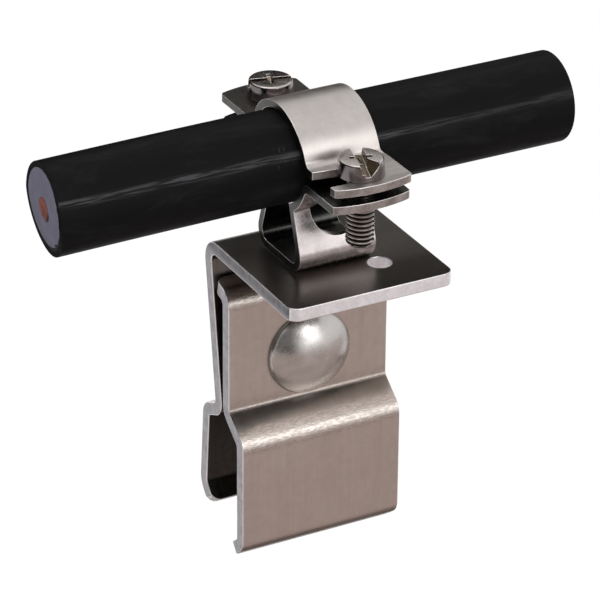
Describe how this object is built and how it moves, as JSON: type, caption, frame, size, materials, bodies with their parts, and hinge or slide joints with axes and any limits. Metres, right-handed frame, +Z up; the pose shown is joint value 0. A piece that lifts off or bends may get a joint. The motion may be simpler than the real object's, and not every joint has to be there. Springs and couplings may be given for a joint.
{
  "type": "roof conductor holder",
  "caption": "Folded stainless seam clamp for a metal roof with a saddle and screwed cap that hold a round insulated conductor above it.",
  "frame": {"origin": "mid width of the plates, middle of the jaw mouth, level with the lowest edge of the jaw", "axes": "+X along the conductor, +Y from the front plate to the back plate, +Z up from the jaw to the flange"},
  "size_m": [0.1198, 0.0538, 0.109],
  "materials": {
    "plate_steel": "fine vertical grain",
    "clamp_steel": "satin, rolled",
    "bolt_steel": "polished, fine marks",
    "screw_steel": "satin",
    "sheath_rubber": "matt black",
    "insulation_plastic": "cut face, grey",
    "core_copper": "cut copper"
  },
  "bodies": {
    "frame": {"back_plate": "plate_steel", "spring_washer": "bolt_steel", "saddle": "clamp_steel", "saddle_rivet": "bolt_steel", "conductor_sheath": "sheath_rubber", "conductor_insulation": "insulation_plastic", "conductor_core": "core_copper"},
    "jaw": {"front_plate": "plate_steel", "carriage_bolt": "bolt_steel"},
    "nut": {"hex_nut": "bolt_steel"},
    "cap": {"cap": "clamp_steel"},
    "front_screw": {"front_screw": "screw_steel"},
    "rear_screw": {"rear_screw": "screw_steel"}
  },
  "joints": [
    {"name": "nut_turn", "type": "hinge", "parent": "frame", "child": "nut", "pos_m": [0, 0.01, 0.04528], "axis": [0, 1, 0], "range_deg": [0, 1440]},
    {"name": "jaw_open", "type": "slide", "parent": "frame", "child": "jaw", "axis": [0, -1, 0], "range_m": [0, 0.005]},
    {"name": "cap_lift", "type": "slide", "parent": "frame", "child": "cap", "axis": [0, 0, 1], "range_m": [0, 0.004]},
    {"name": "front_screw_turn", "type": "hinge", "parent": "cap", "child": "front_screw", "pos_m": [-0.002, -0.0293, 0.097], "axis": [0, 0, 1], "range_deg": [0, 1440]},
    {"name": "rear_screw_turn", "type": "hinge", "parent": "cap", "child": "rear_screw", "pos_m": [-0.0016, 0.0111, 0.097], "axis": [0, 0, 1], "range_deg": [0, 1440]}
  ],
  "couplings": [
    {"joint": "nut_turn", "follows": "jaw_open", "rad_per_m": 5026.5},
    {"joint": "front_screw_turn", "follows": "cap_lift", "rad_per_m": 6283.2},
    {"joint": "rear_screw_turn", "follows": "cap_lift", "rad_per_m": 6283.2}
  ]
}
